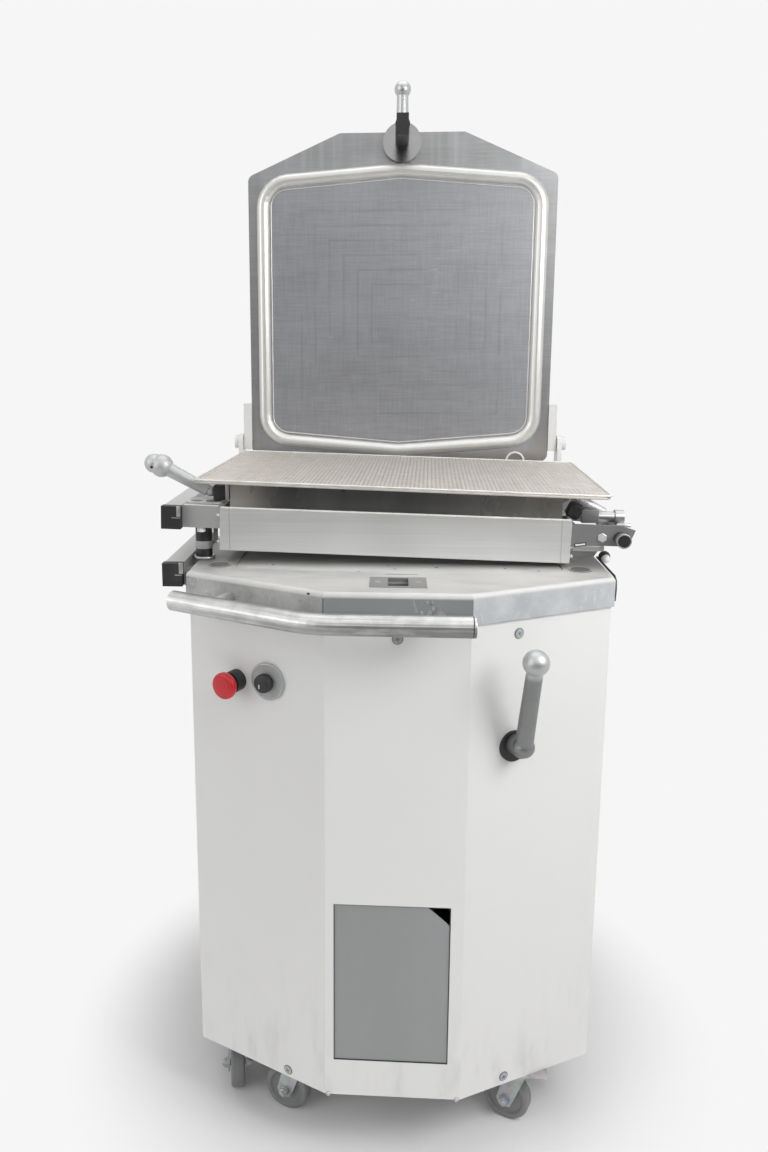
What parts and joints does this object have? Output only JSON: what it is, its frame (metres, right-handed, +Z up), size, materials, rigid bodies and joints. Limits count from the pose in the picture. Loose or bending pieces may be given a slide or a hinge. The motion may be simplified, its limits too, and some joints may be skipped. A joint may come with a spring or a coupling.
{
  "type": "dough divider",
  "caption": "Hydraulic dough divider: faceted white cabinet on casters, aluminium table, hinged dividing head with mesh tray, upright lid with bead ring and latch bolt.",
  "frame": {"origin": "on the floor under the middle of the cabinet", "axes": "+X to the right seen from the front, +Y to the back, +Z up"},
  "size_m": [0.7228, 0.718, 1.6448],
  "materials": {
    "white_paint": "satin",
    "grey_paint": "satin",
    "motor_grey": "satin",
    "table_alu": "worn",
    "lid_alu": "brushed and scratched",
    "bead_alu": "smooth",
    "plain_steel": "brushed",
    "polished_lever": "fine brushed",
    "tray_steel": "dull",
    "rail_alu": "satin",
    "dark_steel": "dull",
    "black_steel": "satin",
    "black_plastic": "matte",
    "seal_rubber": "matte",
    "stop_red": "gloss",
    "switch_grey": "satin",
    "zinc": "zinc plated",
    "wheel_grey": "matte"
  },
  "bodies": {
    "cabinet": {"front_panel": "white_paint", "rear_panel": "white_paint", "base_frame": "grey_paint", "access_panel": "grey_paint", "table_top": "table_alu", "table_plugs": "table_alu", "striker_plate": "plain_steel", "tank": "grey_paint", "cylinder": "motor_grey", "pump_unit": "motor_grey", "oil_tank": "grey_paint", "valve_block": "grey_paint", "cable_gland": "black_plastic", "push_handle": "polished_lever", "estop_collar": "black_plastic", "start_plate": "switch_grey", "lever_grommet": "black_plastic", "hinge_uprights": "white_paint", "hinge_pins": "white_paint", "hinge_lugs": "rail_alu", "head_pin": "black_steel", "lower_rail": "rail_alu", "lower_cap": "black_plastic", "rest_post": "black_steel", "caster_plates": "zinc"},
    "ram": {"ram": "plain_steel", "press_plate": "table_alu", "plate_seal": "seal_rubber"},
    "lid": {"lid_plate": "lid_alu", "lid_bead": "bead_alu", "lid_arms": "white_paint", "latch_hub": "plain_steel"},
    "latch": {"latch_bolt": "black_steel", "latch_lever": "polished_lever"},
    "head": {"head_frame": "plain_steel", "cassette": "plain_steel", "knife_grid": "plain_steel", "mesh_tray": "tray_steel", "head_bracket": "rail_alu", "upper_rail": "rail_alu", "upper_cap": "black_plastic", "oval_plate": "plain_steel", "lever_bush": "black_plastic", "hinge_plates": "dark_steel", "guide_block": "black_plastic"},
    "clamp": {"clamp_lever": "polished_lever"},
    "pull": {"pull_pin": "plain_steel"},
    "valve": {"valve_lever": "polished_lever"},
    "stop": {"estop_head": "stop_red"},
    "start": {"start_knob": "black_plastic"},
    "fork_front_left": {"fork_front_left": "zinc"},
    "wheel_front_left": {"wheel_front_left": "wheel_grey"},
    "fork_left": {"fork_left": "zinc"},
    "wheel_left": {"wheel_left": "wheel_grey"},
    "fork_front_right": {"fork_front_right": "zinc"},
    "wheel_front_right": {"wheel_front_right": "wheel_grey"},
    "fork_rear_left": {"fork_rear_left": "zinc"},
    "wheel_rear_left": {"wheel_rear_left": "wheel_grey"},
    "fork_rear_right": {"fork_rear_right": "zinc"},
    "wheel_rear_right": {"wheel_rear_right": "wheel_grey"}
  },
  "joints": [
    {"name": "ram_lift", "type": "slide", "parent": "cabinet", "child": "ram", "axis": [0, 0, 1], "range_m": [-0.14, 0]},
    {"name": "lid_hinge", "type": "hinge", "parent": "cabinet", "child": "lid", "pos_m": [0, 0.28, 1], "axis": [1, 0, 0], "range_deg": [0, 90]},
    {"name": "latch_turn", "type": "hinge", "parent": "lid", "child": "latch", "pos_m": [0, 0.276, 1.534], "axis": [0, 1, 0], "range_deg": [0, 90]},
    {"name": "head_hinge", "type": "hinge", "parent": "cabinet", "child": "head", "pos_m": [0.32, 0, 0.906], "axis": [0, 1, 0], "range_deg": [0, 105]},
    {"name": "clamp_turn", "type": "hinge", "parent": "head", "child": "clamp", "pos_m": [-0.28275, -0.119, 0.9618], "axis": [0.9997, 0, -0.0262], "range_deg": [0, 80]},
    {"name": "pull_slide", "type": "slide", "parent": "head", "child": "pull", "axis": [0.9997, 0, -0.0262], "range_m": [0, 0.012], "stiffness_N_per_m": 600, "springref_m": -0.004},
    {"name": "valve_turn", "type": "hinge", "parent": "cabinet", "child": "valve", "pos_m": [0.16, -0.27725, 0.64], "axis": [0.4612, -0.8873, 0], "range_deg": [-30, 30]},
    {"name": "stop_press", "type": "slide", "parent": "cabinet", "child": "stop", "axis": [0.4612, 0.8873, 0], "range_m": [0, 0.004], "stiffness_N_per_m": 1500, "springref_m": -0.002},
    {"name": "start_turn", "type": "hinge", "parent": "cabinet", "child": "start", "pos_m": [-0.17774, -0.26803, 0.722], "axis": [-0.4612, -0.8873, 0], "range_deg": [0, 60]},
    {"name": "swivel_front_left", "type": "hinge", "parent": "cabinet", "child": "fork_front_left", "pos_m": [-0.145, -0.22, 0.06], "axis": [0, 0, 1], "continuous": true},
    {"name": "roll_front_left", "type": "hinge", "parent": "fork_front_left", "child": "wheel_front_left", "pos_m": [-0.16191, -0.21384, 0.036], "axis": [-0.342, -0.9397, 0], "continuous": true},
    {"name": "swivel_left", "type": "hinge", "parent": "cabinet", "child": "fork_left", "pos_m": [-0.253, -0.155, 0.06], "axis": [0, 0, 1], "continuous": true},
    {"name": "roll_left", "type": "hinge", "parent": "fork_left", "child": "wheel_left", "pos_m": [-0.24987, -0.17273, 0.036], "axis": [0.9848, 0.1736, 0], "continuous": true},
    {"name": "swivel_front_right", "type": "hinge", "parent": "cabinet", "child": "fork_front_right", "pos_m": [0.196, -0.22, 0.06], "axis": [0, 0, 1], "continuous": true},
    {"name": "roll_front_right", "type": "hinge", "parent": "fork_front_right", "child": "wheel_front_right", "pos_m": [0.17969, -0.21239, 0.036], "axis": [-0.4226, -0.9063, 0], "continuous": true},
    {"name": "swivel_rear_left", "type": "hinge", "parent": "cabinet", "child": "fork_rear_left", "pos_m": [-0.24, 0.21, 0.06], "axis": [0, 0, 1], "continuous": true},
    {"name": "roll_rear_left", "type": "hinge", "parent": "fork_rear_left", "child": "wheel_rear_left", "pos_m": [-0.24, 0.228, 0.036], "axis": [-1, 0, 0], "continuous": true},
    {"name": "swivel_rear_right", "type": "hinge", "parent": "cabinet", "child": "fork_rear_right", "pos_m": [0.24, 0.21, 0.06], "axis": [0, 0, 1], "continuous": true},
    {"name": "roll_rear_right", "type": "hinge", "parent": "fork_rear_right", "child": "wheel_rear_right", "pos_m": [0.24, 0.228, 0.036], "axis": [-1, 0, 0], "continuous": true}
  ]
}
